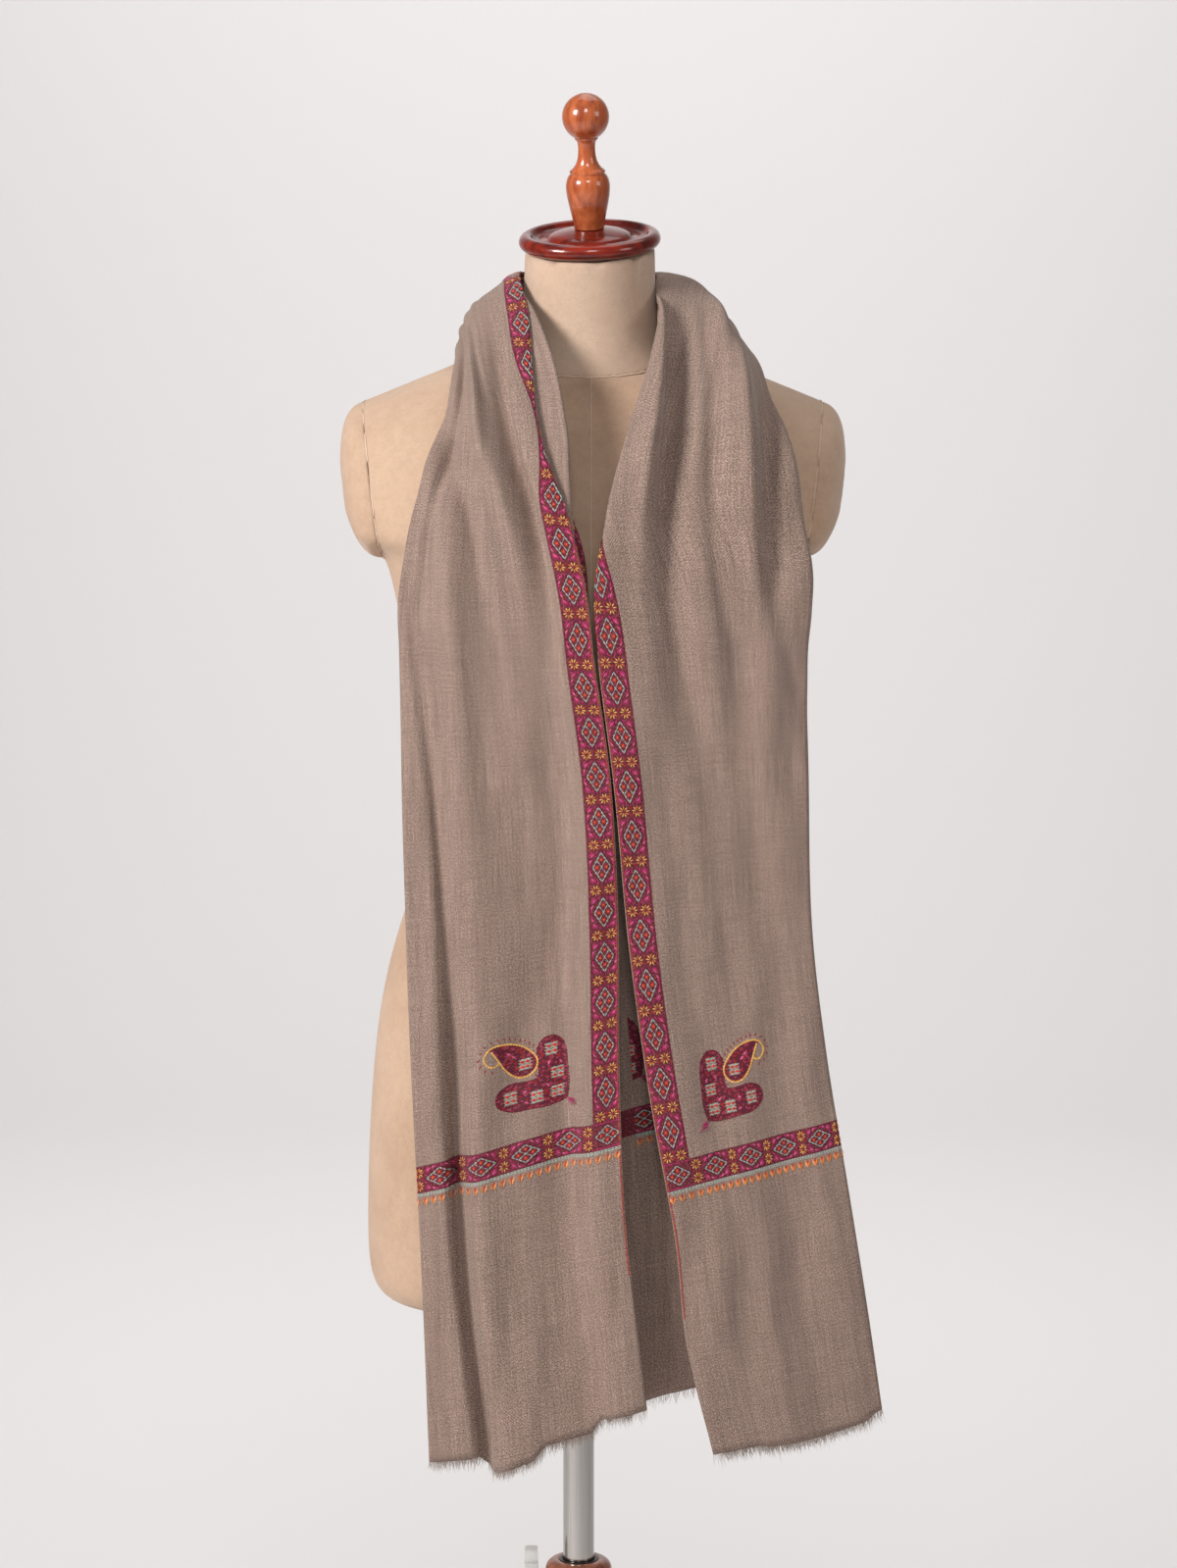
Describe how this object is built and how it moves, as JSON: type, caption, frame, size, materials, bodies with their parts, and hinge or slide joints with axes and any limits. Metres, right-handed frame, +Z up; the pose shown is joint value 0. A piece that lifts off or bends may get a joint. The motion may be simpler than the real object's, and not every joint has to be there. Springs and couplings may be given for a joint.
{
  "type": "pashmina shawl on a dress form",
  "caption": "Long fine wool shawl with an embroidered border, hung round the neck of a limbless dress form on a turned stand.",
  "frame": {"origin": "on the floor, at the middle of the underside of the stand's round base, under the pole", "axes": "+Z up, -Y towards the front of the form, +X to the viewer's right"},
  "size_m": [0.46, 0.46, 1.6109],
  "materials": {
    "shawl_cloth": "soft fine wool twill, light nap",
    "fringe_yarn": "short frayed wool ends",
    "form_cover": "close beige suede-like cover",
    "turned_wood": "glossy red-brown lacquer",
    "stand_wood": "satin reddish wood",
    "pole_chrome": "polished",
    "knob_plastic": "pale translucent"
  },
  "bodies": {
    "stand": {"base_disc": "stand_wood", "base_post": "stand_wood"},
    "knob": {"clamp_knob": "knob_plastic"},
    "form": {"pole": "pole_chrome", "form_torso": "form_cover", "form_neck": "form_cover", "form_cap_left": "form_cover", "form_cap_right": "form_cover", "neck_cap": "turned_wood", "finial": "turned_wood", "shawl_left": "shawl_cloth", "shawl_neck": "shawl_cloth", "shawl_right": "shawl_cloth", "fringe_left": "fringe_yarn", "fringe_right": "fringe_yarn"}
  },
  "joints": [
    {"name": "height_slide", "type": "slide", "parent": "stand", "child": "form", "axis": [0, 0, 1], "range_m": [-0.1, 0.15]},
    {"name": "knob_turn", "type": "hinge", "parent": "stand", "child": "knob", "pos_m": [-0.03, 0, 0.484], "axis": [-1, 0, 0], "continuous": true}
  ]
}
